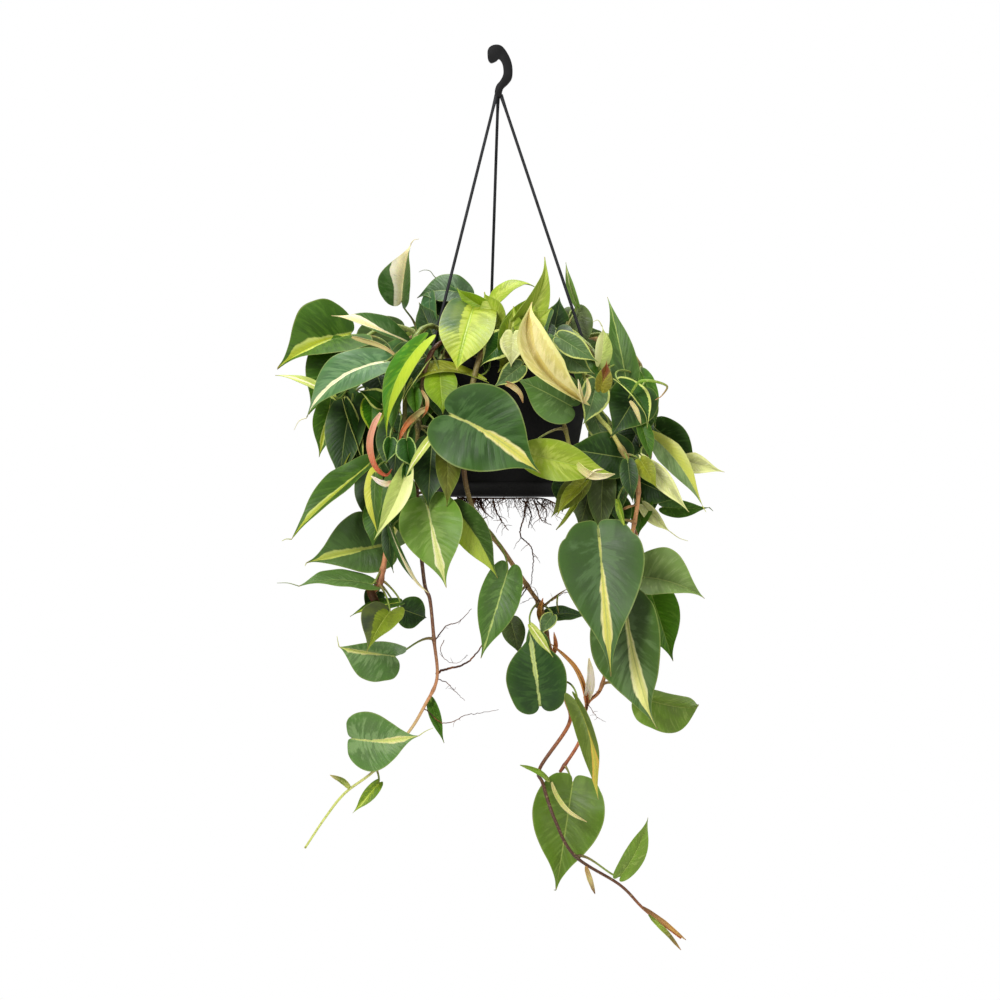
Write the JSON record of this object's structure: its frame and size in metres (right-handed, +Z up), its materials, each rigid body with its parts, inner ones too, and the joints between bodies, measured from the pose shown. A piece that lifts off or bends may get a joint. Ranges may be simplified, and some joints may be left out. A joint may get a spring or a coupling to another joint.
{
  "type": "potted brasil philodendron",
  "caption": "Trailing variegated heart-leaf philodendron in a black hanging nursery pot, carried by a moulded hook on three strands.",
  "frame": {"origin": "inner top of the hook, where it bears on the bar or hook that carries the pot", "axes": "+Z up, the way the pot hangs; +Y away from the viewer; +X to the viewer's right"},
  "size_m": [0.3489, 0.2969, 0.7031],
  "materials": {
    "leaf_green": "satin",
    "leaf_dark": "satin",
    "leaf_lime": "satin",
    "leaf_cream": "satin",
    "leaf_blue_green": "satin",
    "leaf_olive": "satin",
    "stem": "satin",
    "root": "matte",
    "potting_mix": "matte",
    "pot_plastic": "satin"
  },
  "bodies": {
    "root": {"pot": "pot_plastic", "soil": "potting_mix", "hanger_hook": "pot_plastic", "hanger_strand_back": "pot_plastic", "hanger_strand_left": "pot_plastic", "hanger_strand_right": "pot_plastic", "drain_roots": "root", "vine_long_left": "stem", "vine_short_left": "stem", "vine_centre": "stem", "vine_right": "stem", "vine_far_left": "stem", "vine_mid_left": "stem", "vine_front": "stem", "vine_far_right": "stem", "vine_top_left": "stem", "vine_top_right": "stem", "vine_back_left": "stem", "vine_back": "stem", "vine_back_right": "stem", "leaf_upright_left": "leaf_green", "leaf_shoulder": "leaf_green", "leaf_shoulder_inner": "leaf_green", "leaf_blue_left": "leaf_blue_green", "leaf_hanging_left": "leaf_green", "leaf_bright_left": "leaf_lime", "leaf_dark_hang_a": "leaf_dark", "leaf_dark_point": "leaf_green", "leaf_dark_wide": "leaf_green", "leaf_flat_left": "leaf_green", "leaf_cream_hang": "leaf_green", "leaf_big_hang": "leaf_green", "leaf_lime_hang": "leaf_lime", "leaf_front_big": "leaf_dark", "leaf_lime_twist": "leaf_lime", "leaf_cream_up": "leaf_cream", "leaf_green_under_cream": "leaf_green", "leaf_lime_face": "leaf_lime", "leaf_lime_up": "leaf_lime", "leaf_pointed_up": "leaf_green", "leaf_dark_right": "leaf_dark", "leaf_lime_right": "leaf_lime", "leaf_cream_far_right": "leaf_cream", "leaf_right_big": "leaf_dark", "leaf_right_side": "leaf_green", "leaf_right_under": "leaf_dark", "leaf_oval_right": "leaf_green", "leaf_centre_hang": "leaf_green", "leaf_dark_updown": "leaf_dark", "leaf_fold_lime": "leaf_olive", "leaf_low_heart": "leaf_green", "leaf_low_fold": "leaf_green", "leaf_bowl_left": "leaf_green", "leaf_lime_under": "leaf_olive", "leaf_heart_left": "leaf_green", "leaf_back_a": "leaf_dark", "leaf_back_c": "leaf_green", "leaf_back_e": "leaf_green", "leaf_back_g": "leaf_lime", "leaf_back_i": "leaf_dark"}
  },
  "joints": []
}
